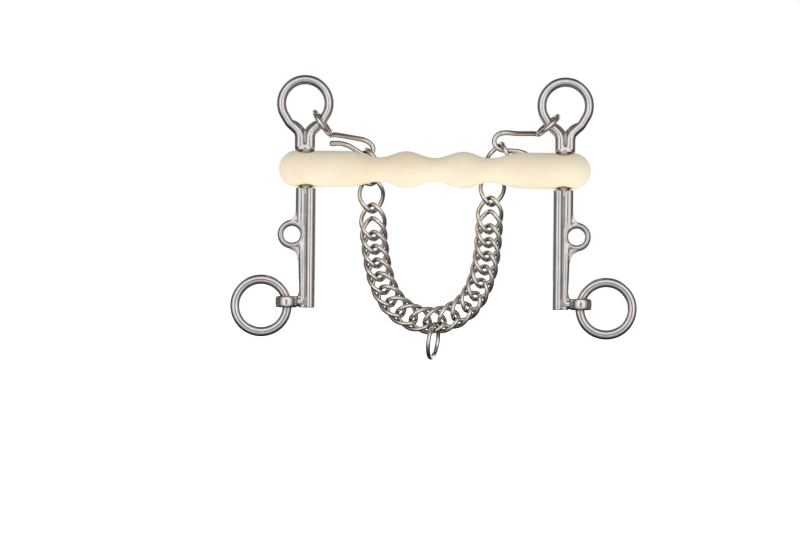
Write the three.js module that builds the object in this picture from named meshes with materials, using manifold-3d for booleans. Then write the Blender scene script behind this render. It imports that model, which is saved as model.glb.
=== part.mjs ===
// Loose-cheek curb bit for a driving or double bridle, in millimetres, +Z up.
// X runs along the mouthpiece, -Y is the front, and the origin is the middle of the mouthpiece.
// The plastic mouthpiece lies between two steel cheeks that swivel on stems through its ends.
// A curb hook hangs on each upper ring, and a double-link curb chain joins the two hooks.
import * as THREE from 'three';
import { mergeVertices } from 'three/addons/utils/BufferGeometryUtils.js';
import Module from 'manifold-3d';

const wasm = await Module();
wasm.setup();

// ---- Driving dimensions ---------------------------------------------------------------------
const RAD = Math.PI / 180;
const GAP = 0.3;

// Mouthpiece: a moulded cover on a steel bar, with a vertical bore near each end.
const STEM_X = 76;
const COVER_END_RADIUS = 10.7;
const COVER_HALF_LENGTH = 92;
const COVER_STATIONS = [[0, 7.0], [17, 10.85], [32, 7.2], [52, 10.7]];
const COVER_SIDES = 20;
const BORE_SIDES = 16;
const CORE_RADIUS = 3.2;
const CORE_EYE_RADIUS = 8.4;
const CORE_EYE_HEIGHT = 6;
const BUSH_OUTER = 5.5;
const BUSH_BORE = 4.2;
const BUSH_HALF_HEIGHT = 10.6;

// Stems, and the collars of the cheeks above and below the mouthpiece.
const STEM_RADIUS = 3.9;
const COLLAR_Z = 11.6;
const COLLAR_RADIUS = 6;
const TENON_RADIUS = 2.4;
const TENON_END = 15;

// Upper cheek: a ring drawn down to a V where its two arms join the neck.
const RING_OUTBOARD = 0.8;
const RING_Z = 38.5;
const RING_RADIUS = 14.1;
const RING_WIRE = 2.7;
const RING_DROP = 3.9;
const NECK_TOP_Z = 21.6;

// Shank: a round rib on the inner side and a thinner web on the outer side.
const SHANK_END_Z = -81;
const RIB_INBOARD = 2.7;
const RIB_HALF_WIDTH = 3.2;
const RIB_HALF_DEPTH = 3.9;
const WEB_DEPTH = 5.2;
const WEB_TOP_WIDTH = 5.9;
const WEB_END_WIDTH = 3.7;
const STRAP_EYE_OUTBOARD = 8;
const STRAP_EYE_Z = -38.8;
const STRAP_EYE_RADIUS = 6.7;
const STRAP_EYE_WIRE = 1.8;
const REIN_LOOP_OUTBOARD = 10.75;
const REIN_LOOP_Z = -78.6;
const REIN_LOOP_BORE = 3.85;
const REIN_LOOP_OUTER = 6.8;
const REIN_LOOP_HALF_HEIGHT = 3.45;

// Rein rings.
const REIN_RING_X = 101.8;
const REIN_RING_Z = -81;
const REIN_RING_RADIUS = 15.6;
const REIN_RING_WIRE = 2.65;

// Curb chain: twisted rings; each ring of a double unit passes through the next two.
const CHAIN_Y = 13.6;
const LINK_HALF_LENGTH = 10.3;
const LINK_HALF_WIDTH = 7;
const LINK_WIRE = 1.38;
const LINK_TWIST = 50 * RAD;
const LINK_STEPS = 22;
const LINK_SIDES = 6;
const CHAIN_LOW = [0.9, -89.3];
const CHAIN_ROLL = 4.5 * RAD;
const DOUBLE_PITCH = 8.16;
const MIDDLE_PITCH = 8.6;
const SINGLE_PITCH = 16.4;
const DOUBLE_BENDS = { left: [16, 17, 16, 13, 9, 5, 3, 1], right: [16, 17, 16, 9, 7, 5, 3, 2] };
const UNIT_COUNT = 9;
const FIRST_LINK_TURN = -22 * RAD;
const SINGLE_LEAN = { left: [4, 4, 7], right: [2, 5, 12.5] };

// Lip-strap link, which hangs from the middle unit of the chain.
const FLY_RADIUS = 10.2;
const FLY_WIRE = 1.4;
const FLY_CENTRE_Z = -101.1;
const FLY_SIDE = -0.8;
const FLY_BACK = 1.07;
const FLY_TURN = 73.6 * RAD;
const FLY_TILT = 7 * RAD;

// Curb hooks: a round eye and a bent J, each bent a little differently by use.
// Points are inward, back (in parts of CHAIN_Y) and up from the eye, along the hook's own long arm.
const EYE_X = 66.6;
const EYE_Z = 26.9;
const EYE_RADIUS = 7.8;
const HOOK_WIRE = 1.5;
const EYE_SLOPE = 47 * RAD;
const HOOK_SEAT = { left: [26.8, -13.4], right: [27, -16.4] };
const SEAT_PLAY = 0.4;
const HOOK_POINTS = {
  left: [
    [5.3, 0, -5.9], [8.2, 0.2, -5.2], [13, 0.5, -5.1], [18.5, 0.78, -5.2], [24, 0.97, -5.5],
    [28.2, 1, -7.4], [29.5, 1, -10.4], [28, 1, -13], [24.6, 1, -13.4], [20.6, 1, -11.8],
    [16, 1, -9.9], [11, 1, -9.2], [6.6, 1, -9.9],
  ],
  right: [
    [5.3, 0, -5.9], [8.2, 0.2, -5.6], [13, 0.5, -5.9], [18.5, 0.78, -6.2], [24.8, 0.97, -6.2],
    [29.4, 1, -7.8], [31.3, 1, -11.2], [30.2, 1, -14.8], [26.6, 1, -16.7], [21, 1, -16.9],
    [16, 1, -16.9], [12, 1, -17.8], [8.4, 1, -19.4],
  ],
};

// ---- Materials --------------------------------------------------------------------------------
const steel = new THREE.MeshStandardMaterial({ color: 0xc9c6c2, roughness: 0.22, metalness: 1 });
const dullSteel = new THREE.MeshStandardMaterial({ color: 0xa8a5a0, roughness: 0.35, metalness: 1 });
const brass = new THREE.MeshStandardMaterial({ color: 0xb9975a, roughness: 0.35, metalness: 1 });
const plastic = new THREE.MeshStandardMaterial({ color: 0xf0e4c8, roughness: 0.55, metalness: 0 });

// ---- Geometry helpers -------------------------------------------------------------------------
function signedVolume(position, index) {
  const corner = [new THREE.Vector3(), new THREE.Vector3(), new THREE.Vector3()];
  let volume = 0;
  for (let i = 0; i < index.count; i += 3) {
    corner.forEach((point, k) => point.fromBufferAttribute(position, index.getX(i + k)));
    volume += corner[0].dot(corner[1].clone().cross(corner[2])) / 6;
  }
  return volume;
}

// Turns a closed three.js geometry into a solid whose faces point out.
function toSolid(geometry) {
  const bare = geometry.clone();
  bare.deleteAttribute('normal');
  bare.deleteAttribute('uv');
  const merged = mergeVertices(bare, 1e-4);
  const kept = [];
  for (let i = 0; i < merged.index.count; i += 3) {
    const [a, b, c] = [0, 1, 2].map((k) => merged.index.getX(i + k));
    if (a !== b && b !== c && c !== a) {
      kept.push(a, b, c);
    }
  }
  if (signedVolume(merged.attributes.position, merged.index) < 0) {
    kept.reverse();
  }
  const vertProperties = new Float32Array(merged.attributes.position.array);
  return new wasm.Manifold(new wasm.Mesh({ numProp: 3, vertProperties, triVerts: new Uint32Array(kept) }));
}

function toGeometry(solid) {
  const mesh = solid.getMesh();
  const geometry = new THREE.BufferGeometry();
  geometry.setAttribute('position', new THREE.BufferAttribute(mesh.vertProperties, 3));
  geometry.setIndex(new THREE.BufferAttribute(mesh.triVerts, 1));
  geometry.computeVertexNormals();
  return geometry;
}

function join(...geometries) {
  return geometries.map(toSolid).reduce((whole, piece) => whole.add(piece));
}

function cut(solid, ...geometries) {
  return geometries.map(toSolid).reduce((whole, piece) => whole.subtract(piece), solid);
}

// A bar of revolution about +Z from [radius, z] pairs; the outline is closed by the axis.
function turned(outline, sides) {
  const points = outline.map(([radius, z]) => new THREE.Vector2(radius, z));
  return new THREE.LatheGeometry(points, sides).rotateX(Math.PI / 2);
}

function rod(radius, low, high, sides) {
  return turned([[0, low], [radius, low], [radius, high], [0, high]], sides);
}

// A closed wire that follows centre(turn), a loop round the origin.
function wireLoop(centre, wireRadius, steps, sides) {
  const geometry = new THREE.TorusGeometry(1, 0.5, sides, steps);
  const position = geometry.attributes.position;
  const small = 1e-3;
  for (let j = 0; j <= sides; j++) {
    const around = (2 * Math.PI * (j % sides)) / sides;
    for (let i = 0; i <= steps; i++) {
      const turn = (2 * Math.PI * (i % steps)) / steps;
      const middle = centre(turn);
      const along = centre(turn + small).sub(centre(turn - small)).normalize();
      const outward = middle.clone().addScaledVector(along, -middle.dot(along)).normalize();
      const side = outward.clone().cross(along);
      middle.addScaledVector(outward, wireRadius * Math.cos(around));
      middle.addScaledVector(side, wireRadius * Math.sin(around));
      position.setXYZ(j * (steps + 1) + i, middle.x, middle.y, middle.z);
    }
  }
  return geometry;
}

// A plain ring in the XZ plane.
function ring(radius, wireRadius, steps, sides) {
  const centre = (turn) => new THREE.Vector3(radius * Math.cos(turn), 0, radius * Math.sin(turn));
  return wireLoop(centre, wireRadius, steps, sides);
}

// A round bar along a smooth curve through the points.
function bar(points, radius, steps, sides) {
  const corners = [];
  for (let i = 0; i < sides; i++) {
    const angle = (2 * Math.PI * i) / sides;
    corners.push(new THREE.Vector2(radius * Math.cos(angle), radius * Math.sin(angle)));
  }
  const extrudePath = new THREE.CatmullRomCurve3(points.map((point) => new THREE.Vector3(...point)));
  return new THREE.ExtrudeGeometry(new THREE.Shape(corners), { steps, extrudePath, curveSegments: 1 });
}

function ball(radius, x, y, z) {
  return new THREE.SphereGeometry(radius, 8, 6).translate(x, y, z);
}

function piece(name, solid, material, x = 0, y = 0, z = 0) {
  const mesh = new THREE.Mesh(toGeometry(solid), material);
  mesh.name = name;
  mesh.position.set(x, y, z);
  return mesh;
}

// ---- Mouthpiece -------------------------------------------------------------------------------
function ease(t) {
  return (1 - Math.cos(Math.PI * t)) / 2;
}

// Cover radius at a distance from the middle, with waists between bulges.
function coverRadius(distance) {
  const last = COVER_STATIONS.length - 1;
  for (let i = 0; i < last; i++) {
    const [x0, r0] = COVER_STATIONS[i];
    const [x1, r1] = COVER_STATIONS[i + 1];
    if (distance <= x1) {
      return r0 + (r1 - r0) * ease((distance - x0) / (x1 - x0));
    }
  }
  const capStart = COVER_HALF_LENGTH - COVER_END_RADIUS;
  const intoCap = Math.max(0, distance - capStart);
  return Math.sqrt(Math.max(0, COVER_END_RADIUS ** 2 - intoCap ** 2));
}

function coverOutline() {
  const distances = [0, 4, 8, 12, 17, 21, 24.5, 28, 32, 37, 42, 47, 52, 66, 81.3];
  const capStart = COVER_HALF_LENGTH - COVER_END_RADIUS;
  for (let i = 1; i <= 6; i++) {
    distances.push(capStart + COVER_END_RADIUS * Math.sin((i * Math.PI) / 12));
  }
  const half = distances.map((distance) => [coverRadius(distance), distance]);
  const mirrored = half.slice(1).reverse().map(([radius, distance]) => [radius, -distance]);
  return [...mirrored, ...half];
}

function makeCover() {
  const shell = join(turned(coverOutline(), COVER_SIDES).rotateY(Math.PI / 2));
  const channel = rod(CORE_RADIUS + GAP, -STEM_X, STEM_X, 12).rotateY(Math.PI / 2);
  const pocketHalf = CORE_EYE_HEIGHT / 2 + GAP;
  const cuts = [channel];
  for (const x of [-STEM_X, STEM_X]) {
    cuts.push(rod(BUSH_OUTER + GAP, -20, 20, BORE_SIDES).translate(x, 0, 0));
    cuts.push(rod(CORE_EYE_RADIUS + GAP, -pocketHalf, pocketHalf, BORE_SIDES).translate(x, 0, 0));
  }
  return cut(shell, ...cuts);
}

function makeCore() {
  const half = CORE_EYE_HEIGHT / 2;
  const parts = [rod(CORE_RADIUS, -STEM_X + 7, STEM_X - 7, 12).rotateY(Math.PI / 2)];
  const bores = [];
  for (const x of [-STEM_X, STEM_X]) {
    parts.push(rod(CORE_EYE_RADIUS, -half, half, BORE_SIDES).translate(x, 0, 0));
    bores.push(rod(BUSH_OUTER + GAP, -20, 20, BORE_SIDES).translate(x, 0, 0));
  }
  return cut(join(...parts), ...bores);
}

function makeBush() {
  const h = BUSH_HALF_HEIGHT;
  const outline = [[BUSH_BORE, -h], [BUSH_OUTER, -h], [BUSH_OUTER, h], [BUSH_BORE, h], [BUSH_BORE, -h]];
  return toSolid(turned(outline, BORE_SIDES));
}

// ---- Cheeks: drawn for the right side, where outboard is +X -------------------------------------
function makeStem() {
  const shoulder = COLLAR_Z - GAP;
  return toSolid(turned([
    [0, -TENON_END], [TENON_RADIUS, -TENON_END], [TENON_RADIUS, -shoulder], [STEM_RADIUS, -shoulder],
    [STEM_RADIUS, shoulder], [TENON_RADIUS, shoulder], [TENON_RADIUS, TENON_END], [0, TENON_END],
  ], BORE_SIDES));
}

function tenonSocket(low, high) {
  return rod(TENON_RADIUS + GAP, low, high, BORE_SIDES);
}

// The upper ring is round, but drawn down to a V at its foot.
function upperRingCentre(turn) {
  const foot = Math.max(0, -Math.sin(turn)) ** 9;
  const radius = RING_RADIUS + RING_DROP * foot;
  return new THREE.Vector3(radius * Math.cos(turn), 0, radius * Math.sin(turn));
}

function makeUpperCheek() {
  const loop = wireLoop(upperRingCentre, RING_WIRE, 32, 8).translate(RING_OUTBOARD, 0, RING_Z);
  const neck = turned([
    [0, COLLAR_Z], [COLLAR_RADIUS - 0.6, COLLAR_Z], [COLLAR_RADIUS, COLLAR_Z + 0.6],
    [COLLAR_RADIUS, 13.4], [5.6, 15.5], [5.5, 17.5], [5.9, 19.4], [5.2, NECK_TOP_Z], [0, NECK_TOP_Z],
  ], 18).scale(1, 0.9, 1).translate(RING_OUTBOARD, 0, 0);
  const shoulders = [-1, 1].map((side) => bar([
    [side * 2.6, 0, 17], [side * 4.6, 0, 20.5], [side * 8.4, 0, 25.4], [side * 11.6, 0, 30.4],
  ], RING_WIRE + 0.25, 4, 8).translate(RING_OUTBOARD, 0, 0));
  return cut(join(loop, neck, ...shoulders), tenonSocket(COLLAR_Z - 1, TENON_END + GAP));
}

function webOutline() {
  const shape = new THREE.Shape();
  const top = -COLLAR_Z;
  shape.moveTo(-1, top);
  shape.lineTo(WEB_TOP_WIDTH, top);
  shape.lineTo(WEB_TOP_WIDTH - 0.1, top - 11);
  shape.quadraticCurveTo(WEB_TOP_WIDTH + 0.4, STRAP_EYE_Z + 9, STRAP_EYE_OUTBOARD + 1.5, STRAP_EYE_Z + 7.5);
  shape.lineTo(3.2, STRAP_EYE_Z);
  shape.lineTo(STRAP_EYE_OUTBOARD + 0.5, STRAP_EYE_Z - 7.5);
  shape.quadraticCurveTo(4.7, STRAP_EYE_Z - 9, 4.6, STRAP_EYE_Z - 15);
  shape.lineTo(WEB_END_WIDTH, SHANK_END_Z + 9);
  shape.quadraticCurveTo(WEB_END_WIDTH, SHANK_END_Z + 6, WEB_END_WIDTH + 2, SHANK_END_Z + 5.4);
  shape.lineTo(WEB_END_WIDTH + 2, SHANK_END_Z + 0.4);
  shape.lineTo(-1, SHANK_END_Z + 0.4);
  return shape;
}

function makeWeb() {
  const options = { depth: WEB_DEPTH - 1.6, bevelEnabled: true, bevelThickness: 0.8, bevelSize: 0.6,
    bevelOffset: -0.6, bevelSegments: 1, curveSegments: 4 };
  const web = new THREE.ExtrudeGeometry(webOutline(), options);
  return web.translate(0, 0, 0.8 - WEB_DEPTH / 2).rotateX(Math.PI / 2);
}

function makeShank() {
  const rib = rod(1, SHANK_END_Z, -COLLAR_Z, 18).scale(RIB_HALF_WIDTH, RIB_HALF_DEPTH, 1)
    .translate(-RIB_INBOARD, 0, 0);
  const h = REIN_LOOP_HALF_HEIGHT;
  const boss = turned([
    [0, -h], [REIN_LOOP_OUTER - 1.6, -h], [REIN_LOOP_OUTER - 0.4, 0.6 - h], [REIN_LOOP_OUTER, 0],
    [REIN_LOOP_OUTER - 0.4, h - 0.6], [REIN_LOOP_OUTER - 1.6, h], [0, h],
  ], 20).translate(REIN_LOOP_OUTBOARD, 0, REIN_LOOP_Z);
  const eye = ring(STRAP_EYE_RADIUS, STRAP_EYE_WIRE, 24, 8).translate(STRAP_EYE_OUTBOARD, 0, STRAP_EYE_Z);
  const eyeHole = rod(STRAP_EYE_RADIUS - STRAP_EYE_WIRE + 0.1, -10, 10, 24).rotateX(Math.PI / 2)
    .translate(STRAP_EYE_OUTBOARD, 0, STRAP_EYE_Z);
  const loopHole = rod(REIN_LOOP_BORE, -10, 10, 20).translate(REIN_LOOP_OUTBOARD, 0, REIN_LOOP_Z);
  const socket = tenonSocket(-TENON_END - GAP, 1 - COLLAR_Z);
  const body = cut(join(rib, makeWeb(), boss), eyeHole, loopHole, socket);
  return body.add(toSolid(eye));
}

// ---- Curb chain -------------------------------------------------------------------------------
function linkCentre(turn) {
  const height = LINK_HALF_LENGTH * Math.sin(turn);
  const twist = LINK_TWIST * Math.sin(turn);
  const reach = LINK_HALF_WIDTH * Math.cos(turn);
  return new THREE.Vector3(reach * Math.cos(twist), -reach * Math.sin(twist), height);
}

function makeLink() {
  return toSolid(wireLoop(linkCentre, LINK_WIRE, LINK_STEPS, LINK_SIDES));
}

// Places of one side's rings from the middle of the chain up to the hook.
// slope is the angle of a ring's long axis above the horizontal.
function layChain(side) {
  const sign = side === 'left' ? -1 : 1;
  const roll = sign * CHAIN_ROLL;
  const places = [];
  let slope = (DOUBLE_BENDS[side][0] / 2) * RAD + roll;
  let [x, z] = CHAIN_LOW;
  const step = (pitch, nextSlope) => {
    const heading = (slope + nextSlope) / 2;
    x += sign * pitch * Math.cos(heading);
    z += pitch * Math.sin(heading);
    slope = nextSlope;
    places.push({ x, z, slope, sign });
  };
  step(DOUBLE_PITCH / 2, slope);
  DOUBLE_BENDS[side].forEach((bend, i) => {
    step(i === 0 ? MIDDLE_PITCH : DOUBLE_PITCH, slope + bend * RAD);
  });
  SINGLE_LEAN[side].forEach((lean, i) => {
    slope = (90 - lean) * RAD;
    step(i === 0 ? DOUBLE_PITCH : SINGLE_PITCH, slope);
  });
  return places;
}

function placeLink(name, { x, z, slope, sign }) {
  const link = piece(name, makeLink(), steel, x, CHAIN_Y, z);
  link.rotation.order = 'YZX';
  link.rotation.y = Math.atan2(sign * Math.cos(slope), Math.sin(slope));
  link.rotation.z = name.endsWith('link_1') ? FIRST_LINK_TURN : 0;
  return link;
}

// Units count from the left hook to the right; the middle unit holds one ring of each side.
// The two rings of a unit lie side by side; ring a is the one nearer the left hook.
function chainRingName(side, sign, i) {
  if (i >= UNIT_COUNT) {
    return `${side}_link_${UNIT_COUNT + SINGLE_LEAN[side].length - i}`;
  }
  const unit = (UNIT_COUNT + 1) / 2 + sign * Math.ceil(i / 2);
  const letter = (i % 2 === 0) === (sign < 0) ? 'a' : 'b';
  return `chain_unit_${unit}${letter}`;
}

function makeChain() {
  const links = [];
  for (const side of ['left', 'right']) {
    layChain(side).forEach((place, i) => {
      links.push(placeLink(chainRingName(side, place.sign, i), place));
    });
  }
  return links;
}

function makeFlyLink() {
  const link = piece('lip_strap_link', toSolid(ring(FLY_RADIUS, FLY_WIRE, 26, 7)), steel);
  link.position.set(CHAIN_LOW[0] + FLY_SIDE, CHAIN_Y + FLY_BACK, FLY_CENTRE_Z);
  link.rotation.order = 'ZXY';
  link.rotation.z = FLY_TURN;
  link.rotation.x = FLY_TILT;
  return link;
}

// ---- Curb hooks ---------------------------------------------------------------------------------
// The hook turns about its eye, and stretches a little, until its seat holds the first chain ring.
function makeHook(side) {
  const sign = side === 'left' ? -1 : 1;
  const [seatU, seatV] = HOOK_SEAT[side];
  const last = layChain(side).at(-1);
  const reach = LINK_HALF_LENGTH - LINK_WIRE - HOOK_WIRE - SEAT_PLAY;
  const inward = EYE_X - sign * (last.x + sign * reach * Math.cos(last.slope));
  const up = last.z + reach * Math.sin(last.slope) - EYE_Z;
  const tilt = Math.atan2(up, inward) - Math.atan2(seatV, seatU);
  const stretch = Math.hypot(up, inward) / Math.hypot(seatU, seatV);
  const points = HOOK_POINTS[side].map(([u, y, v]) => [
    -sign * stretch * (u * Math.cos(tilt) - v * Math.sin(tilt)),
    y * CHAIN_Y,
    stretch * (u * Math.sin(tilt) + v * Math.cos(tilt)),
  ]);
  const eye = ring(EYE_RADIUS, HOOK_WIRE, 22, 6).rotateZ(Math.PI / 2)
    .rotateY(sign * (Math.PI / 2 - EYE_SLOPE + tilt));
  const tip = ball(HOOK_WIRE * 1.12, ...points.at(-1));
  const solid = join(eye, bar(points, HOOK_WIRE, 30, 7), tip);
  return piece(`${side}_curb_hook`, solid, steel, sign * EYE_X, 0, EYE_Z);
}

// ---- Assembly -----------------------------------------------------------------------------------
const bit = new THREE.Group();
bit.add(piece('mouth_cover', makeCover(), plastic), piece('mouth_core', makeCore(), dullSteel));
for (const side of ['left', 'right']) {
  const sign = side === 'left' ? -1 : 1;
  const cheek = new THREE.Group();
  cheek.position.x = sign * STEM_X;
  cheek.rotation.z = side === 'left' ? Math.PI : 0;
  cheek.add(
    piece(`${side}_bush`, makeBush(), brass),
    piece(`${side}_stem`, makeStem(), dullSteel),
    piece(`${side}_upper_cheek`, makeUpperCheek(), steel),
    piece(`${side}_shank`, makeShank(), steel),
  );
  const reinRing = toSolid(ring(REIN_RING_RADIUS, REIN_RING_WIRE, 32, 8));
  bit.add(cheek, piece(`${side}_rein_ring`, reinRing, steel, sign * REIN_RING_X, 0, REIN_RING_Z));
  bit.add(makeHook(side));
}
bit.add(...makeChain(), makeFlyLink());

export default bit;
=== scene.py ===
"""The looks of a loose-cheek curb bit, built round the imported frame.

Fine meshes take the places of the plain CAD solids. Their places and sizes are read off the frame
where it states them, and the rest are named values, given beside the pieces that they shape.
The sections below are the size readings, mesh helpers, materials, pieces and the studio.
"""
import math

import bmesh
import bpy
import numpy as np
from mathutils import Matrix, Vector


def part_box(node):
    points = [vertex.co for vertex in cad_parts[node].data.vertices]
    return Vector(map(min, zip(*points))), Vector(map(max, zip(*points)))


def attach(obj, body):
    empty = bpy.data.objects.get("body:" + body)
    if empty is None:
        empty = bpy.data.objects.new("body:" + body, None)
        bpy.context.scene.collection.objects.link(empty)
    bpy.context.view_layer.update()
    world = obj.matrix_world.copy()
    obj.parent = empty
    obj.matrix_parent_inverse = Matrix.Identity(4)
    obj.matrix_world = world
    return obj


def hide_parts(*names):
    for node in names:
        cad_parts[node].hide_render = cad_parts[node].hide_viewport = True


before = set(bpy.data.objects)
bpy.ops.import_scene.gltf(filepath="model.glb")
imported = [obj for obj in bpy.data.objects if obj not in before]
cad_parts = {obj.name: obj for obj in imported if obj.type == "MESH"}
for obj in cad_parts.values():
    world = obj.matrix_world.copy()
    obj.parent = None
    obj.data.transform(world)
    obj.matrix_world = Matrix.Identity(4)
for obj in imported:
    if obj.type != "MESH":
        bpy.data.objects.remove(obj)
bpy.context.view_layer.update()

MM = 0.001
SIDES = (("left", -1), ("right", 1))
UPRIGHT = np.eye(3)


# ---- Reading sizes off the frame -------------------------------------------------------------------
def middle(node):
    low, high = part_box(node)
    return (low + high) / 2


def size(node):
    low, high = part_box(node)
    return high - low


def corners(node):
    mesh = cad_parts[node].data
    points = np.zeros(len(mesh.vertices) * 3)
    mesh.vertices.foreach_get("co", points)
    return points.reshape(-1, 3)


def own_axes(node):
    """Centre and axes of a ring-shaped node: across, through, and along its longest way."""
    points = corners(node)
    centre = (points.max(0) + points.min(0)) / 2
    _, vectors = np.linalg.eigh(np.cov((points - points.mean(0)).T))
    through, across, along = vectors[:, 0], vectors[:, 1], vectors[:, 2]
    if np.dot(np.cross(across, through), along) < 0:
        through = -through
    return centre, np.stack([across, through, along], 1)


# ---- Mesh helpers ----------------------------------------------------------------------------------
WELD = 1e-7
SOFTEN = 0.5


def new_mesh(name, points, faces):
    mesh = bpy.data.meshes.new(name)
    mesh.from_pydata([tuple(p) for p in points], [], faces)
    mesh.update()
    piece = bpy.data.objects.new(name, mesh)
    bpy.context.scene.collection.objects.link(piece)
    return piece


def smooth(piece):
    piece.data.polygons.foreach_set("use_smooth", [True] * len(piece.data.polygons))
    return piece


def unit(v):
    return v / np.linalg.norm(v, axis=-1, keepdims=True)


def flat_ring(radius, steps):
    """A circle of points about the Y axis."""
    turns = np.linspace(0, 2 * math.pi, steps, endpoint=False)
    return radius * np.stack([np.cos(turns), 0 * turns, np.sin(turns)], 1)


def even_section(half, aside=1.0):
    """A wire section that is the same all round; aside scales its size through the ring."""
    return lambda turn: (half, half * aside)


def tube_faces(rings, sides, closed):
    """Four-sided faces between neighbouring rings of points; closed joins the last to the first."""
    faces = []
    for i in range(rings if closed else rings - 1):
        here, there = i * sides, ((i + 1) % rings) * sides
        for j in range(sides):
            k = (j + 1) % sides
            faces.append((here + j, here + k, there + k, there + j))
    return faces


def squared(value, power):
    """A sine or cosine that draws a circle, pushed out towards a square by a power under 1."""
    return math.copysign(abs(value) ** power, value)


def loop_points(centre, radii, sides, power):
    """Points of a closed wire round the origin. radii(turn) gives the wire's two half-sizes,
    and a power under 1 squares its section a little."""
    steps = len(centre)
    along = unit(np.roll(centre, -1, 0) - np.roll(centre, 1, 0))
    outward = unit(centre - (centre * along).sum(1, keepdims=True) * along)
    side = np.cross(outward, along)
    around = np.linspace(0, 2 * math.pi, sides, endpoint=False)
    points = []
    for i in range(steps):
        half_out, half_side = radii(2 * math.pi * i / steps)
        for a in around:
            out = half_out * squared(math.cos(a), power)
            aside = half_side * squared(math.sin(a), power)
            points.append(centre[i] + out * outward[i] + aside * side[i])
    return np.array(points)


def closed_wire(name, centre, radii, sides, place, power=1.0):
    """A closed wire along centre; place holds its origin and axes."""
    origin, axes = place
    points = loop_points(centre, radii, sides, power) @ axes.T + origin
    piece = new_mesh(name, points, tube_faces(len(centre), sides, True))
    fix_normals(piece)
    return smooth(piece)


def curve_points(knots, count):
    """A smooth Catmull-Rom line through the knots."""
    knots = np.array(knots, float)
    padded = np.vstack([2 * knots[0] - knots[1], knots, 2 * knots[-1] - knots[-2]])
    spans = len(knots) - 1
    out = []
    for t in np.linspace(0, spans, count):
        i = min(int(t), spans - 1)
        u = t - i
        a, b, c, d = padded[i:i + 4]
        out.append(0.5 * (2 * b + (c - a) * u + (2 * a - 5 * b + 4 * c - d) * u ** 2
                          + (3 * b - a - 3 * c + d) * u ** 3))
    return np.array(out)


def capped_bar(name, points, rings, sides):
    """A bar from rings of points, closed by a flat face at each end."""
    faces = tube_faces(rings, sides, False)
    faces.append(tuple(range(sides)))
    faces.append(tuple(range(len(points) - sides, len(points))))
    piece = new_mesh(name, points, faces)
    fix_normals(piece)
    return piece


def upright_bar(name, levels, sides):
    """A capped upright bar from (centre x, half width, half depth, z) levels."""
    around = np.linspace(0, 2 * math.pi, sides, endpoint=False)
    points = [(x + half * math.cos(a), depth * math.sin(a), z)
              for x, half, depth, z in levels for a in around]
    return capped_bar(name, points, len(levels), sides)


def open_tube(name, path, radii, sides, up=(0, 1, 0), flat=1.0):
    """A capped bar along the path; radii holds one radius per point, flat scales it along up."""
    path = np.array(path, float)
    along = unit(np.gradient(path, axis=0))
    first = unit(np.cross(along, np.array(up, float)))
    second = np.cross(first, along)
    around = np.linspace(0, 2 * math.pi, sides, endpoint=False)
    points = []
    for p, r, f, s in zip(path, radii, first, second):
        for a in around:
            points.append(p + r * math.cos(a) * f + r * flat * math.sin(a) * s)
    return capped_bar(name, points, len(path), sides)


def lathe(name, outline, sides, centre=(0, 0, 0), axis="Z", closed=False):
    """A body of revolution from (radius, height) pairs about the Z or X axis through centre."""
    points, faces, rows = [], [], len(outline)
    for i in range(sides):
        a = 2 * math.pi * i / sides
        for radius, height in outline:
            p = (radius * math.cos(a), radius * math.sin(a), height)
            if axis == "X":
                p = (height, radius * math.cos(a), radius * math.sin(a))
            points.append(np.array(p) + np.array(centre))
    for i in range(sides):
        k = (i + 1) % sides
        for j in range(rows if closed else rows - 1):
            n = (j + 1) % rows
            faces.append((i * rows + j, k * rows + j, k * rows + n, i * rows + n))
    piece = new_mesh(name, points, faces)
    mesh = bmesh.new()
    mesh.from_mesh(piece.data)
    bmesh.ops.remove_doubles(mesh, verts=mesh.verts, dist=WELD)
    mesh.to_mesh(piece.data)
    mesh.free()
    fix_normals(piece)
    return piece


def slab(name, outline, depth):
    """A flat plate in the XZ plane, centred on y = 0."""
    count = len(outline)
    points = [(x, y, z) for y in (-depth / 2, depth / 2) for x, z in outline]
    faces = [tuple(range(count)), tuple(range(count, 2 * count))]
    faces += [(i, (i + 1) % count, count + (i + 1) % count, count + i) for i in range(count)]
    piece = new_mesh(name, points, faces)
    fix_normals(piece)
    return piece


def fix_normals(piece):
    mesh = bmesh.new()
    mesh.from_mesh(piece.data)
    bmesh.ops.recalc_face_normals(mesh, faces=mesh.faces)
    mesh.to_mesh(piece.data)
    mesh.free()


def cast_in_one(name, parts, voxel, passes):
    """Melts overlapping parts into one skin with soft fillets, as a polished casting has."""
    bpy.ops.object.select_all(action="DESELECT")
    for part in parts:
        part.select_set(True)
    bpy.context.view_layer.objects.active = parts[0]
    bpy.ops.object.join()
    piece = bpy.context.view_layer.objects.active
    piece.name = name
    piece.data.name = name
    remesh = piece.modifiers.new("melt", "REMESH")
    remesh.mode = "VOXEL"
    remesh.voxel_size = voxel
    soften = piece.modifiers.new("soften", "SMOOTH")
    soften.factor = SOFTEN
    soften.iterations = passes
    bake(piece)
    return smooth(piece)


def bake(piece):
    """Applies a piece's modifiers, so the mesh is final."""
    graph = bpy.context.evaluated_depsgraph_get()
    mesh = bpy.data.meshes.new_from_object(piece.evaluated_get(graph))
    piece.modifiers.clear()
    old = piece.data
    piece.data = mesh
    bpy.data.meshes.remove(old)


def mirror_move(piece, sign, x):
    """Sets a piece drawn for the right side in place, mirrored for the left."""
    for vertex in piece.data.vertices:
        vertex.co.x = sign * (vertex.co.x + x)
    if sign < 0:
        piece.data.flip_normals()


def paint(thing, material):
    thing.data.materials.clear()
    thing.data.materials.append(material)


def stand_for(piece, material, body, slot, *nodes):
    """Gives a piece its material, the body that it rides on and the nodes it replaces; slot is not
    used.
    """
    paint(piece, material)
    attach(piece, body)
    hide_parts(*nodes)


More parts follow.
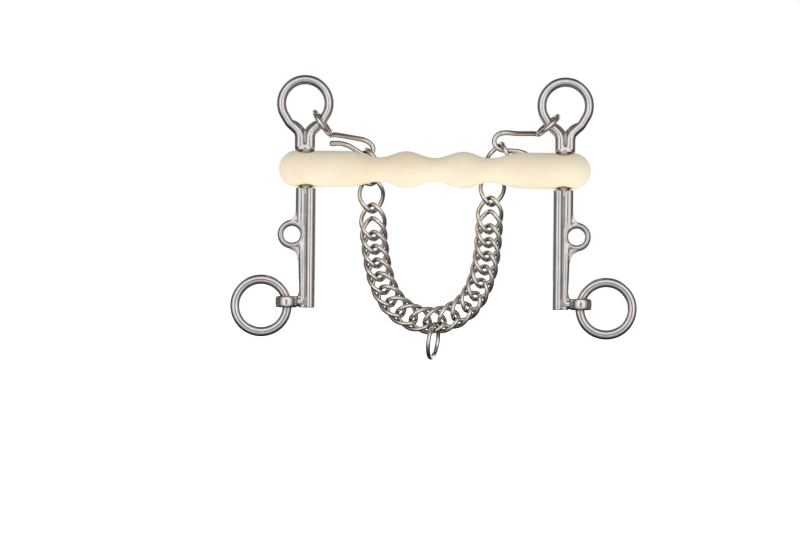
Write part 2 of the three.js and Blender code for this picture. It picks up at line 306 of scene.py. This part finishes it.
# ---- Materials -------------------------------------------------------------------------------------
def node_tree(name):
    material = bpy.data.materials.new(name)
    material.use_nodes = True
    tree = material.node_tree
    shader = tree.nodes["Principled BSDF"]
    return material, tree, shader


def add(tree, kind, **values):
    node = tree.nodes.new(kind)
    for key, value in values.items():
        if key in node.inputs:
            node.inputs[key].default_value = value
        else:
            setattr(node, key, value)
    return node


def ramp(tree, source, stops):
    node = tree.nodes.new("ShaderNodeValToRGB")
    elements = node.color_ramp.elements
    while len(elements) < len(stops):
        elements.new(0.5)
    for element, (position, colour) in zip(elements, stops):
        element.position = position
        element.color = colour
    tree.links.new(source, node.inputs["Fac"])
    return node.outputs["Color"]


def grey(value):
    return (value, value, value, 1)


def blend(tree, kind, a, b):
    """Both colours mixed in full, by MULTIPLY or ADD."""
    both = add(tree, "ShaderNodeMix", data_type="RGBA", blend_type=kind)
    both.inputs["Factor"].default_value = 1.0
    tree.links.new(a, both.inputs[6])
    tree.links.new(b, both.inputs[7])
    return both.outputs[2]


def noise(tree, vector, scale, detail, roughness):
    node = add(tree, "ShaderNodeTexNoise", Scale=scale, Detail=detail, Roughness=roughness)
    tree.links.new(vector, node.inputs["Vector"])
    return node.outputs["Fac"]


def stretched(tree, vector, scale):
    node = add(tree, "ShaderNodeMapping")
    node.inputs["Scale"].default_value = scale
    tree.links.new(vector, node.inputs["Vector"])
    return node.outputs["Vector"]


def bump(tree, height, strength, distance, under=None):
    """A bump from height, laid over the bump under it."""
    node = add(tree, "ShaderNodeBump", Strength=strength, Distance=distance)
    tree.links.new(height, node.inputs["Height"])
    if under is not None:
        tree.links.new(under, node.inputs["Normal"])
    return node.outputs["Normal"]


# Painted shade: the steel's colour is darkened in sharp concave seams and grooves.
HOLLOW_PAINTED_SHADE = [(0.462, grey(0.28)), (0.496, grey(1.0))]
# Painted shade: the steel's colour is darkened where other metal is close by, as between chain links.
SHELTER_PAINTED_SHADE = [(0.25, (0.34, 0.31, 0.28, 1)), (0.80, grey(1.0))]
SHELTER_REACH = 3.5 * MM
CREAM = [
    (0.30, (0.745, 0.620, 0.440, 1)),
    (0.50, (0.795, 0.695, 0.525, 1)),
    (0.72, (0.820, 0.722, 0.555, 1)),
]


def with_painted_shade(tree, colour):
    """Paints shade into a colour: darker in sharp hollows and where other metal is close by."""
    edge = add(tree, "ShaderNodeNewGeometry")
    # painted shade in sharp hollows
    hollow_shade = ramp(tree, edge.outputs["Pointiness"], HOLLOW_PAINTED_SHADE)
    # painted shade where nearby metal shelters the surface
    shelter = add(tree, "ShaderNodeAmbientOcclusion")
    shelter.samples = 8
    shelter.inputs["Distance"].default_value = SHELTER_REACH
    shelter_shade = ramp(tree, shelter.outputs["AO"], SHELTER_PAINTED_SHADE)
    return blend(tree, "MULTIPLY", blend(tree, "MULTIPLY", colour, hollow_shade), shelter_shade)


def steel_material(name, tint, shade, gloss):
    """Polished stainless steel: a cloudy gloss, fine buffing lines, and painted shade in hollows and in
    sheltered places.
    """
    material, tree, shader = node_tree(name)
    links = tree.links
    place = add(tree, "ShaderNodeTexCoord").outputs["Object"]
    cloud = noise(tree, place, 170.0, 5.0, 0.6)
    buffing = noise(tree, stretched(tree, place, (1.0, 1.0, 0.16)), 2600.0, 3.0, 0.7)
    ripples = noise(tree, place, 420.0, 2.0, 0.5)
    colour = ramp(tree, cloud, [(0.3, shade), (0.7, tint)])
    # the base colour carries painted shade in hollows and sheltered places
    links.new(with_painted_shade(tree, colour), shader.inputs["Base Color"])
    low, high = gloss
    links.new(ramp(tree, cloud, [(0.3, grey(low)), (0.75, grey(high))]), shader.inputs["Roughness"])
    lines = bump(tree, buffing, 0.04, 0.03 * MM)
    links.new(bump(tree, ripples, 0.05, 0.10 * MM, lines), shader.inputs["Normal"])
    shader.inputs["Metallic"].default_value = 1.0
    return material


def plastic_material():
    """Cream moulded plastic, faintly mottled, satin, with the fine skin of a mould."""
    material, tree, shader = node_tree("cream_plastic")
    links = tree.links
    place = add(tree, "ShaderNodeTexCoord").outputs["Object"]
    mottle = noise(tree, place, 38.0, 6.0, 0.55)
    speck = noise(tree, place, 900.0, 2.0, 0.6)
    fine = ramp(tree, speck, [(0.28, grey(0.94)), (0.5, grey(1.0))])
    links.new(blend(tree, "MULTIPLY", ramp(tree, mottle, CREAM), fine), shader.inputs["Base Color"])
    links.new(ramp(tree, mottle, [(0.3, grey(0.40)), (0.7, grey(0.56))]), shader.inputs["Roughness"])
    skin = bump(tree, speck, 0.10, 0.08 * MM)
    links.new(bump(tree, mottle, 0.14, 0.5 * MM, skin), shader.inputs["Normal"])
    shader.inputs["Subsurface Weight"].default_value = 0.12
    shader.inputs["Subsurface Radius"].default_value = (4.0 * MM, 2.5 * MM, 1.2 * MM)
    shader.inputs["Subsurface Scale"].default_value = 0.6
    shader.inputs["IOR"].default_value = 1.48
    return material


def turned_material(name, light, dark, gloss):
    """Turned metal with fine rings about the upright axis."""
    material, tree, shader = node_tree(name)
    links = tree.links
    place = add(tree, "ShaderNodeTexCoord").outputs["Object"]
    rings = noise(tree, stretched(tree, place, (0.05, 0.05, 1.0)), 3800.0, 3.0, 0.6)
    links.new(ramp(tree, rings, [(0.35, dark), (0.65, light)]), shader.inputs["Base Color"])
    low, high = gloss
    links.new(ramp(tree, rings, [(0.3, grey(low)), (0.7, grey(high))]), shader.inputs["Roughness"])
    links.new(bump(tree, rings, 0.25, 0.04 * MM), shader.inputs["Normal"])
    shader.inputs["Metallic"].default_value = 1.0
    return material


POLISHED = steel_material(
    "polished_steel", tint=(0.74, 0.718, 0.708, 1), shade=(0.61, 0.588, 0.58, 1), gloss=(0.09, 0.18))
CHAIN = steel_material(
    "chain_steel", tint=(0.88, 0.85, 0.815, 1), shade=(0.70, 0.665, 0.62, 1), gloss=(0.07, 0.17))
PLASTIC = plastic_material()
INNER = turned_material(
    "turned_steel", light=(0.62, 0.61, 0.59, 1), dark=(0.45, 0.44, 0.42, 1), gloss=(0.22, 0.38))
BRASS = turned_material(
    "turned_brass", light=(0.42, 0.31, 0.14, 1), dark=(0.20, 0.14, 0.07, 1), gloss=(0.25, 0.40))

# ---- Mouthpiece ------------------------------------------------------------------------------------
STEM_X = middle("right_stem").x
COVER_HALF = size("mouth_cover").x / 2
BORE_PLAY = 0.25 * MM
BORE_RADIUS = size("right_bush").x / 2 + BORE_PLAY
BORE_REACH = 20 * MM
BORE_EDGE = math.radians(40)
COVER_STATIONS = np.array([(0, 7.0), (17, 10.85), (32, 7.2), (52, 10.7), (100, 10.7)]) * MM
COVER_STEPS = 150


def cover_radius(distance):
    """The cover's radius along its length: a middle waist, a bulge and an outer waist each side."""
    i = max(1, int(np.searchsorted(COVER_STATIONS[:, 0], distance, side="left")))
    (x0, r0), (x1, r1) = COVER_STATIONS[i - 1], COVER_STATIONS[i]
    t = (1 - math.cos(math.pi * (distance - x0) / (x1 - x0))) / 2
    radius = r0 + (r1 - r0) * t
    end = COVER_STATIONS[-1, 1]
    into_cap = max(0.0, distance - (COVER_HALF - end))
    return radius - (end - math.sqrt(max(0.0, end ** 2 - into_cap ** 2)))


def make_mouthpiece():
    half = [COVER_HALF * math.sin(math.pi / 2 * t) for t in np.linspace(0, 1, COVER_STEPS)]
    outline = [(cover_radius(x), x) for x in half[:-1]] + [(0.0, COVER_HALF)]
    mirrored = [(radius, -x) for radius, x in outline[:0:-1]]
    cover = lathe("mouthpiece", mirrored + outline, 96, axis="X")
    for _, sign in SIDES:
        drill = [(radius, end * BORE_REACH) for radius, end in
                 ((0, -1), (BORE_RADIUS, -1), (BORE_RADIUS, 1), (0, 1))]
        bore = lathe("bore", drill, 48, (sign * STEM_X, 0, 0))
        hole = cover.modifiers.new("bore", "BOOLEAN")
        hole.operation = "DIFFERENCE"
        hole.solver = "EXACT"
        hole.object = bore
        bake(cover)
        bpy.data.objects.remove(bore)
    smooth(cover)
    cover.data.set_sharp_from_angle(angle=BORE_EDGE)
    stand_for(cover, PLASTIC, "mouthpiece", "mouth_plastic", "mouth_cover")


make_mouthpiece()

# ---- Cheeks: drawn about the stem's axis, outboard along +X ----------------------------------------
VOXEL = 0.26 * MM
CHEEK_PASSES = 16
SHANK_PASSES = 6
RING_CENTRE = 0.8 * MM
RING_WIRE = 2.8 * MM
RING_LEAVE = math.radians(-37)
RING_RADIUS = size("right_upper_cheek").x / 2 - RING_WIRE
RING_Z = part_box("right_upper_cheek")[1].z - RING_RADIUS - RING_WIRE
NECK_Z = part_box("right_upper_cheek")[0].z
SHANK_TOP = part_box("right_shank")[1].z
SHANK_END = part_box("right_shank")[0].z
NECK_BAR = 3.25 * MM
NECK_TAPER = 8 * MM
SHANK_RISE = 0.4 * MM
COLLAR_DROP = 1.0 * MM
COLLAR_FLAT = 0.56
# Millimetres: (x, z) of the neck's bar and of a lobe, (radius, height) of the collar and of the web.
NECK_LINE = ((2.8, 12.4), (2.8, 14.6), (2.8, 17.2), (2.9, 19.4), (3.8, 21.9), (6.2, 24.4), (9.2, 27.0))
LOBE_LINE = ((1.3, 18.0), (1.4, 21.0), (2.3, 23.4), (4.9, 25.9), (9.4, 28.0))
LOBE_TAPER = (2.1, 1.6)
COLLAR = ((0, 0), (5.3, 0), (5.8, 0.4), (6.0, 1.3), (5.8, 2.6), (4.9, 4.0), (0, 4.8))
WEB = ((2.7, 0.6), (2.7, 4), (2.9, 7), (3.4, 9.5), (2.2, 10.9))


def bezier(a, b, c, d, count):
    t = np.linspace(0, 1, count)[:, None]
    a, b, c, d = (np.array(p, float) for p in (a, b, c, d))
    return (1 - t) ** 3 * a + 3 * (1 - t) ** 2 * t * b + 3 * (1 - t) * t ** 2 * c + t ** 3 * d


def crotch_lobe(s):
    """A swelling on the inner side of an arm, which leaves only a small notch between the arms."""
    line = [(s * x * MM, 0, z * MM) for x, z in LOBE_LINE]
    return open_tube("lobe", curve_points(line, 40), np.linspace(*LOBE_TAPER, 40) * MM, 24, flat=0.9)


def make_upper_cheek(side, sign):
    """One round bar: up one side of the neck, round the ring, and down the other side."""
    centre = np.array([0, 0, RING_Z])
    turns = np.linspace(RING_LEAVE, math.pi - RING_LEAVE, 15)
    arc = [tuple(centre + RING_RADIUS * np.array([math.cos(t), 0, math.sin(t)])) for t in turns]
    arm = [(x * MM, 0, z * MM) for x, z in NECK_LINE]
    knots = arm + arc + [(-x, 0, z) for x, _, z in reversed(arm)]
    path = curve_points(knots, 260)
    above = np.clip((path[:, 2] - arm[3][2]) / NECK_TAPER, 0, 1)
    radii = NECK_BAR + (RING_WIRE - NECK_BAR) * above
    bar = open_tube("bar", path, radii, 40, flat=0.93)
    foot = NECK_Z - COLLAR_DROP
    collar = lathe("collar", [(radius * MM, foot + h * MM) for radius, h in COLLAR], 64)
    for vertex in collar.data.vertices:
        vertex.co.y *= COLLAR_FLAT
    web = open_tube("web", [(0, 0, NECK_Z + h * MM) for _, h in WEB],
                    [radius * MM for radius, _ in WEB], 24, flat=0.45)
    lobes = [crotch_lobe(s) for s in (-1, 1)]
    parts = [bar, collar, web, *lobes]
    piece = cast_in_one(f"{side}_upper_cheek_skin", parts, VOXEL, CHEEK_PASSES)
    mirror_move(piece, sign, STEM_X + RING_CENTRE)
    stand_for(piece, POLISHED, f"{side}_cheek", "polished_steel", f"{side}_upper_cheek")


STRAP_EYE_X = 8.0 * MM
STRAP_EYE_Z = -38.8 * MM
STRAP_EYE_RADIUS = 6.7 * MM
STRAP_EYE_WIRE = 1.8 * MM
EYE_DISH = 6.5 * MM
GUSSET_RIM = 1.7 * MM
GUSSET_DEPTH = 2.8 * MM
GUSSET_ROOT_X = 1.0 * MM
GUSSET_TIP = (2.0 * MM, 7.9 * MM)
GUSSET_SEAT = 6.4 * MM
GUSSET_SEAT_FROM, GUSSET_SEAT_TO = 78, 150
# Each gusset: above or below the eye, then millimetres to the shank's edge, its far end and its bend.
GUSSETS = ((1, 5.8, 14.5, 10.4), (-1, 4.3, 15.0, 11.2))
RIB_X = -2.75 * MM
RIB_RADIUS = 3.2 * MM
BEAD_INNER = -0.6 * MM
BEAD_OUTER = 5.9 * MM
BEAD_STEP = 1.6 * MM
BEAD_STEP_FROM = 4 * MM
BEAD_STEP_LENGTH = 12 * MM
BEAD_TAPER = 1.0 * MM
BEAD_DEPTH = 2.75 * MM
BEAD_THINNING = 0.5 * MM
BEAD_DISH = 0.9 * MM
LOOP_X = 10.75 * MM
LOOP_Z = -78.6 * MM
LOOP_BORE = 3.75 * MM
LOOP_BARREL = 6.8 * MM
LOOP_HALF_HEIGHT = 3.45 * MM
LOOP_SQUARED = 0.62
# Millimetres: (x, radius) along the loop's neck, and (x, height over the shank's end) of its brace.
LOOP_NECK = ((1.0, 3.0), (2.8, 2.9), (4.6, 2.8), (6.6, 2.9))
LOOP_BRACE = ((1.9, 10.0), (2.4, 7.4), (3.6, 5.2), (5.4, 4.2))
BRACE_RADIUS = 1.7 * MM


def arc_between(centre, radius, start, stop, count):
    turns = np.radians(np.linspace(start, stop, count))
    return [(centre[0] + radius * math.cos(t), centre[1] + radius * math.sin(t)) for t in turns]


def strap_eye_gussets():
    """Two curved gussets that run from the shank's outer edge out to the lip-strap eye."""
    plates = []
    for s, edge, far, near in GUSSETS:
        start = (edge * MM, STRAP_EYE_Z + s * far * MM)
        bend = ((edge + 0.2) * MM, STRAP_EYE_Z + s * near * MM)
        ease = ((edge + 1.6) * MM, STRAP_EYE_Z + s * (near - 1.6) * MM)
        stop = (STRAP_EYE_X + GUSSET_TIP[0], STRAP_EYE_Z + s * GUSSET_TIP[1])
        curve = [tuple(p) for p in bezier(start, bend, ease, stop, 16)]
        seat = arc_between((STRAP_EYE_X, STRAP_EYE_Z), GUSSET_SEAT,
                           s * GUSSET_SEAT_FROM, s * GUSSET_SEAT_TO, 9)
        root = (GUSSET_ROOT_X, STRAP_EYE_Z + s * far * MM)
        plates.append(slab("gusset", [*curve, *seat, root], GUSSET_DEPTH))
        rim = [(x - GUSSET_RIM * 0.9, 0, z - s * GUSSET_RIM * 0.5) for x, z in curve]
        plates.append(open_tube("rim", np.array(rim), [GUSSET_RIM] * len(rim), 20))
    return plates


def make_bead(height):
    """The shank's outer bead. It steps in below the eye and tapers over the shank's lower half, and it
    is cut round the eye's hole and dished beside it."""
    drop = (SHANK_TOP - height) / (SHANK_TOP - SHANK_END)
    below = np.clip((STRAP_EYE_Z + BEAD_STEP_FROM - height) / BEAD_STEP_LENGTH, 0, 1)
    step = below * below * (3 - 2 * below)
    edges = BEAD_OUTER - BEAD_STEP * step - BEAD_TAPER * np.clip(2 * drop - 1, 0, 1)
    hole = STRAP_EYE_RADIUS - STRAP_EYE_WIRE
    chord = np.sqrt(np.clip(hole ** 2 - (height - STRAP_EYE_Z) ** 2, 0, None))
    edges = np.where(chord > 0, np.minimum(edges, STRAP_EYE_X - chord), edges)
    dish = np.exp(-((height - STRAP_EYE_Z) / EYE_DISH) ** 2)
    depths = BEAD_DEPTH - BEAD_THINNING * drop - BEAD_DISH * dish
    return upright_bar("bead", [((edge + BEAD_INNER) / 2, (edge - BEAD_INNER) / 2, depth, z)
                                for edge, depth, z in zip(edges, depths, height)], 36)


def make_shank(side, sign):
    """A round inner rib and a flatter outer bead with a groove between them, an eye and a loop."""
    height = np.linspace(SHANK_END, SHANK_TOP + SHANK_RISE, 140)
    rib = open_tube("rib", [(RIB_X, 0, z) for z in height], [RIB_RADIUS] * len(height), 36, flat=1.10)
    place = (np.array([STRAP_EYE_X, 0, STRAP_EYE_Z]), UPRIGHT)
    eye_wire = even_section(STRAP_EYE_WIRE, 1.05)
    eye = closed_wire("eye", flat_ring(STRAP_EYE_RADIUS, 72), eye_wire, 20, place)
    loop = lathe("loop", loop_section(), 72, (LOOP_X, 0, LOOP_Z), closed=True)
    neck = open_tube("neck", [(x * MM, 0, LOOP_Z) for x, _ in LOOP_NECK],
                     [radius * MM for _, radius in LOOP_NECK], 28, flat=0.9)
    brace_line = [(x * MM, 0, SHANK_END + h * MM) for x, h in LOOP_BRACE]
    brace = open_tube("brace", brace_line, [BRACE_RADIUS] * len(brace_line), 20)
    parts = [rib, make_bead(height), eye, loop, neck, brace, *strap_eye_gussets()]
    piece = cast_in_one(f"{side}_shank_skin", parts, VOXEL, SHANK_PASSES)
    mirror_move(piece, sign, STEM_X)
    stand_for(piece, POLISHED, f"{side}_cheek", "polished_steel", f"{side}_shank")


def loop_section():
    """The rounded section of the rein-ring loop, from its bore to its barrel."""
    middle_radius, half_width = (LOOP_BORE + LOOP_BARREL) / 2, (LOOP_BARREL - LOOP_BORE) / 2
    turns = np.linspace(0, 2 * math.pi, 28, endpoint=False)
    return [(middle_radius + half_width * squared(math.cos(t), LOOP_SQUARED),
             LOOP_HALF_HEIGHT * squared(math.sin(t), LOOP_SQUARED)) for t in turns]


REIN_WIRE_FACETS = 0.15 * MM
REIN_WIRE_SQUARED = 0.88


def make_rein_ring(side):
    """A drawn wire ring, a little squared, whose facets in the CAD lie inside the round wire."""
    node = f"{side}_rein_ring"
    wire = size(node).y / 2 + REIN_WIRE_FACETS
    ring = flat_ring(size(node).x / 2 - wire, 128)
    place = (np.array(middle(node)), UPRIGHT)
    piece = closed_wire(f"{node}_skin", ring, even_section(wire, 0.94), 40, place, REIN_WIRE_SQUARED)
    stand_for(piece, POLISHED, node, "polished_steel", node)


for side, sign in SIDES:
    make_upper_cheek(side, sign)
    make_shank(side, sign)
    make_rein_ring(side)
    paint(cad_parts[f"{side}_stem"], INNER)
    paint(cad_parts[f"{side}_bush"], BRASS)
paint(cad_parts["mouth_core"], INNER)

# ---- Curb chain ------------------------------------------------------------------------------------
LINK_HALF_LENGTH = 10.3 * MM
LINK_HALF_WIDTH = 7.0 * MM
LINK_WIRE = 1.34 * MM
LINK_TWIST = math.radians(50)
LINK_FILED = 0.04


def link_line(steps):
    """The middle line of a chain ring: an oval whose two ends are twisted against each other."""
    turns = np.linspace(0, 2 * math.pi, steps, endpoint=False)
    twist = LINK_TWIST * np.sin(turns)
    reach = LINK_HALF_WIDTH * np.cos(turns)
    along = LINK_HALF_LENGTH * np.sin(turns)
    return np.stack([reach * np.cos(twist), -reach * np.sin(twist), along], 1)


def link_wire(turn):
    """The wire is filed a little flat on its sides and thickest at its ends."""
    sides = math.cos(turn) ** 2
    return LINK_WIRE * (1 - LINK_FILED * sides), LINK_WIRE


def make_link(node, body):
    piece = closed_wire(f"{node}_skin", link_line(72), link_wire, 18, own_axes(node))
    stand_for(piece, CHAIN, body, "chain_steel", node)


for side, _ in SIDES:
    for count in (1, 2, 3):
        make_link(f"{side}_link_{count}", f"{side}_link_{count}")
for count in range(1, 10):
    for letter in "ab":
        make_link(f"chain_unit_{count}{letter}", f"chain_unit_{count}")


def make_fly_link():
    """The round link at the chain's middle, of the same wire as the chain."""
    node = "lip_strap_link"
    ring = flat_ring(size(node).z / 2 - LINK_WIRE, 96)
    piece = closed_wire(f"{node}_skin", ring, even_section(LINK_WIRE), 20, own_axes(node))
    stand_for(piece, CHAIN, node, "chain_steel", node)


make_fly_link()

# ---- Curb hooks ------------------------------------------------------------------------------------
EYE_X = 66.6 * MM
EYE_Z = 26.9 * MM
HOOK_WIRE = 1.5 * MM
HOOK_VOXEL = 0.22 * MM
HOOK_PASSES = 4
HOOK_SWELL = 0.10
HOOK_SWELL_FROM = 0.93
HOOK_TIP = 1.12
HOOK_UP = (0.1, 1, 0.3)
EYE_RADIUS = 7.8 * MM
EYE_SLOPE = math.radians(47)
EYE_TURN = math.radians(7)
CHAIN_Y = middle("left_link_3").y
SEAT_PLAY = 0.4 * MM
# Millimetres inward and up from the eye's middle. A point's middle number is its share of CHAIN_Y.
HOOK_SEAT = {"left": (26.8, -13.4), "right": (27, -16.4)}
HOOK_POINTS = {
    "left": [
        (5.3, 0, -5.9), (8.2, 0.2, -5.2), (13, 0.5, -5.1), (18.5, 0.78, -5.2), (24, 0.97, -5.5),
        (28.2, 1, -7.4), (29.5, 1, -10.4), (28, 1, -13), (24.6, 1, -13.4), (20.6, 1, -11.8),
        (16, 1, -9.9), (11, 1, -9.2), (6.6, 1, -9.9),
    ],
    "right": [
        (5.3, 0, -5.9), (8.2, 0.2, -5.6), (13, 0.5, -5.9), (18.5, 0.78, -6.2), (24.8, 0.97, -6.2),
        (29.4, 1, -7.8), (31.3, 1, -11.2), (30.2, 1, -14.8), (26.6, 1, -16.7), (21, 1, -16.9),
        (16, 1, -16.9), (12, 1, -17.8), (8.4, 1, -19.4),
    ],
}


def hook_place(side, sign):
    """The eye's middle, and the turn and stretch that bring the hook's seat to the first chain ring."""
    centre, axes = own_axes(f"{side}_link_1")
    along = axes[:, 2] * (1 if axes[2, 2] > 0 else -1)
    seat = centre + along * (LINK_HALF_LENGTH - LINK_WIRE - HOOK_WIRE - SEAT_PLAY)
    inward, up = EYE_X - sign * seat[0], seat[2] - EYE_Z
    seat_u, seat_v = HOOK_SEAT[side]
    tilt = math.atan2(up, inward) - math.atan2(seat_v, seat_u)
    return tilt, math.hypot(up, inward) / math.hypot(seat_u, seat_v)


def make_hook(side, sign):
    """A bent J from a round eye, which ends in a slightly swollen tip."""
    tilt, stretch = hook_place(side, sign)
    knots = [(sign * EYE_X - sign * stretch * (u * math.cos(tilt) - v * math.sin(tilt)), y * CHAIN_Y,
              EYE_Z + stretch * (u * math.sin(tilt) + v * math.cos(tilt)))
             for u, y, v in HOOK_POINTS[side]]
    path = curve_points(knots, 160)
    share = np.linspace(0, 1, len(path))
    swollen = np.clip((share - HOOK_SWELL_FROM) / (1 - HOOK_SWELL_FROM), 0, 1)
    radii = HOOK_WIRE * (1 + HOOK_SWELL * swollen)
    arm = open_tube("arm", path, radii, 24, up=HOOK_UP)
    ball = HOOK_WIRE * HOOK_TIP
    tip = lathe("tip", [(ball * math.sin(t), -ball * math.cos(t))
                        for t in np.linspace(0, math.pi, 14)], 24, path[-1])
    turns = np.linspace(0, 2 * math.pi, 96, endpoint=False)
    slope = EYE_SLOPE - tilt
    down = np.array([-sign * math.cos(slope), 0, -math.sin(slope)])
    across = np.array([-sign * math.sin(slope) * math.sin(EYE_TURN), math.cos(EYE_TURN),
                       math.cos(slope) * math.sin(EYE_TURN)])
    ring = EYE_RADIUS * (np.cos(turns)[:, None] * across + np.sin(turns)[:, None] * down)
    place = (np.array([sign * EYE_X, 0, EYE_Z]), UPRIGHT)
    eye = closed_wire("eye", ring, even_section(HOOK_WIRE), 20, place)
    piece = cast_in_one(f"{side}_curb_hook_skin", [arm, tip, eye], HOOK_VOXEL, HOOK_PASSES)
    stand_for(piece, CHAIN, f"{side}_hook", "chain_steel", f"{side}_curb_hook")


for side, sign in SIDES:
    make_hook(side, sign)

# ---- Studio ----------------------------------------------------------------------------------------
VIEW_WIDTH = 0.472
VIEW_X = -0.0200
VIEW_Z = -0.0575
VIEW_DISTANCE = 2.4
VIEW_ROLL = math.radians(-0.56)
FLOOR_Z = -0.26
FLOOR_REACH = 60.0
FLOOR_GLOW = 0.80
LIGHTS_AIM = Vector((0, 0, -0.03))
TENT_POWER = 1.25
AMBIENT_POWER = 0.67
LENS_DARK = (0.09, 0.08, 0.075, 1)
# The tent's colours from front to back, its brightness from floor to top, and its two lights by their
# place sideways, in depth and in height.
TENT = [
    (0.0, LENS_DARK), (0.002, LENS_DARK), (0.010, grey(1.0)), (0.09, grey(1.0)),
    (0.18, (0.50, 0.475, 0.46, 1)), (0.30, (0.22, 0.20, 0.19, 1)), (0.48, (0.08, 0.07, 0.065, 1)),
    (0.965, LENS_DARK), (0.99, grey(0.5)), (1.0, grey(0.5)),
]
RISE = [(0.0, grey(0.25)), (0.25, grey(0.36)), (0.44, grey(0.85)), (0.52, grey(1.0)), (1.0, grey(0.8))]
STRIPS = [(0.34, grey(0.0)), (0.44, grey(0.9)), (0.62, grey(0.9)), (0.74, grey(0.0))]
STRIPS_DEPTH = [(0.70, grey(0.0)), (0.82, grey(1.0))]
STRIPS_HEIGHT = [(0.28, grey(0.0)), (0.42, grey(1.0))]


def make_camera():
    data = bpy.data.cameras.new("camera")
    data.sensor_width = 36
    data.lens = data.sensor_width * VIEW_DISTANCE / VIEW_WIDTH
    camera = bpy.data.objects.new("camera", data)
    camera.location = (VIEW_X, -VIEW_DISTANCE, VIEW_Z)
    camera.rotation_euler = (math.pi / 2, VIEW_ROLL, 0)
    bpy.context.scene.collection.objects.link(camera)
    bpy.context.scene.camera = camera


def make_floor():
    corner_signs = ((-1, -1), (1, -1), (1, 1), (-1, 1))
    points = [(x * FLOOR_REACH, y * FLOOR_REACH, FLOOR_Z) for x, y in corner_signs]
    floor = new_mesh("floor", points, [(0, 1, 2, 3)])
    material, tree, shader = node_tree("pale_floor")
    grain = add(tree, "ShaderNodeTexNoise", Scale=30.0, Detail=3.0)
    tree.links.new(ramp(tree, grain.outputs["Fac"], [(0.3, grey(0.86)), (0.7, grey(0.90))]),
                   shader.inputs["Base Color"])
    shader.inputs["Roughness"].default_value = 0.9
    shader.inputs["Emission Color"].default_value = grey(1.0)
    shader.inputs["Emission Strength"].default_value = FLOOR_GLOW
    floor.data.materials.append(material)
    floor.visible_glossy = False


def add_light(name, place, power, width, height):
    data = bpy.data.lights.new(name, "AREA")
    data.shape = "RECTANGLE"
    data.size, data.size_y = width, height
    data.energy = power
    light = bpy.data.objects.new(name, data)
    light.location = place
    light.visible_glossy = False
    light.rotation_euler = (LIGHTS_AIM - Vector(place)).to_track_quat("-Z", "Y").to_euler()
    bpy.context.scene.collection.objects.link(light)


def backdrop(tree, power):
    return add(tree, "ShaderNodeBackground", Color=grey(1.0), Strength=power)


def either(tree, test, no, yes):
    """One of two shaders, by what kind of ray asks."""
    mix = tree.nodes.new("ShaderNodeMixShader")
    tree.links.new(test, mix.inputs["Fac"])
    tree.links.new(no, mix.inputs[1])
    tree.links.new(yes, mix.inputs[2])
    return mix.outputs["Shader"]


def whole_span(tree, source):
    """Maps a direction's -1 to 1 onto 0 to 1."""
    span = add(tree, "ShaderNodeMapRange")
    span.inputs["From Min"].default_value = -1.0
    tree.links.new(source, span.inputs["Value"])
    return span.outputs["Result"]


def tent_colour(tree):
    """Bright in front and above, dark at the lens and behind, with two tall lights at the back."""
    place = tree.nodes.new("ShaderNodeTexCoord")
    split = tree.nodes.new("ShaderNodeSeparateXYZ")
    tree.links.new(place.outputs["Generated"], split.inputs["Vector"])
    depth, height = whole_span(tree, split.outputs["Y"]), whole_span(tree, split.outputs["Z"])
    sideways = add(tree, "ShaderNodeMath", operation="ABSOLUTE")
    tree.links.new(split.outputs["X"], sideways.inputs[0])
    walls = blend(tree, "MULTIPLY", ramp(tree, depth, TENT), ramp(tree, height, RISE))
    strips = ramp(tree, sideways.outputs["Value"], STRIPS)
    strips = blend(tree, "MULTIPLY", strips, ramp(tree, depth, STRIPS_DEPTH))
    strips = blend(tree, "MULTIPLY", strips, ramp(tree, height, STRIPS_HEIGHT))
    return blend(tree, "ADD", walls, strips)


def make_world():
    """White to the camera, even and soft to dull surfaces, and a tent to the metal."""
    world = bpy.data.worlds.new("studio")
    bpy.context.scene.world = world
    world.use_nodes = True
    tree = world.node_tree
    tree.nodes.clear()
    tent, soft, white = (backdrop(tree, power) for power in (TENT_POWER, AMBIENT_POWER, 1.0))
    tree.links.new(tent_colour(tree), tent.inputs["Color"])
    path = tree.nodes.new("ShaderNodeLightPath")
    lit = either(tree, path.outputs["Is Diffuse Ray"], tent.outputs[0], soft.outputs[0])
    seen = either(tree, path.outputs["Is Camera Ray"], lit, white.outputs[0])
    output = tree.nodes.new("ShaderNodeOutputWorld")
    tree.links.new(seen, output.inputs["Surface"])


make_camera()
make_floor()
make_world()
add_light("key", (-0.6, -1.3, 1.5), 4.6, 1.0, 1.0)
add_light("fill", (0.8, -1.7, 0.1), 1.2, 0.8, 1.0)
add_light("back", (-0.4, 1.6, 0.6), 6, 0.9, 0.6)
bpy.context.scene.view_settings.view_transform = "Standard"
